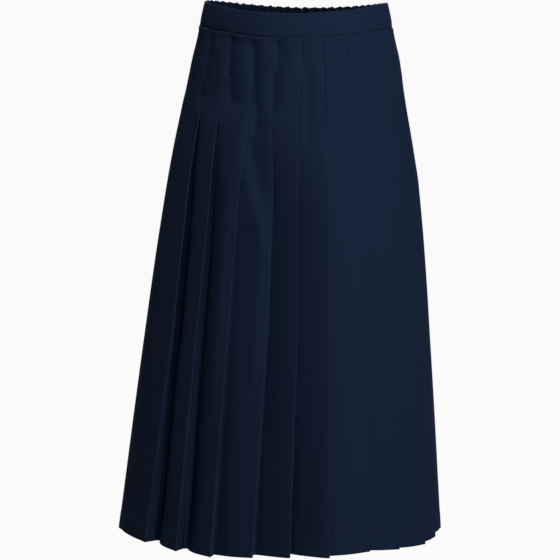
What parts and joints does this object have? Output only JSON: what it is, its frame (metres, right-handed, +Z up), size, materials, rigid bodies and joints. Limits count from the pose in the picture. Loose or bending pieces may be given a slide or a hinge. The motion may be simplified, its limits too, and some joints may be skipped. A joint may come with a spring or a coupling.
{
  "type": "pleated maxi skirt",
  "caption": "Long skirt in knife pleats, stitched shut over the hips and free below, on a flat front and gathered elastic back waistband.",
  "frame": {"origin": "middle of the waist opening, level with the top edge of the waistband at the wearer's sides", "axes": "+Z up, the wearer faces -Y, +X is the wearer's left; the skirt hangs down from the origin"},
  "size_m": [0.5097, 0.4622, 0.8401],
  "materials": {
    "skirt_cloth": "matt navy suiting, a fine smooth twill",
    "waistband_cloth": "matt navy suiting, a fine smooth twill"
  },
  "bodies": {
    "root": {"skirt_front": "skirt_cloth", "skirt_back": "skirt_cloth", "waistband_front": "waistband_cloth", "waistband_back": "waistband_cloth"}
  },
  "joints": []
}
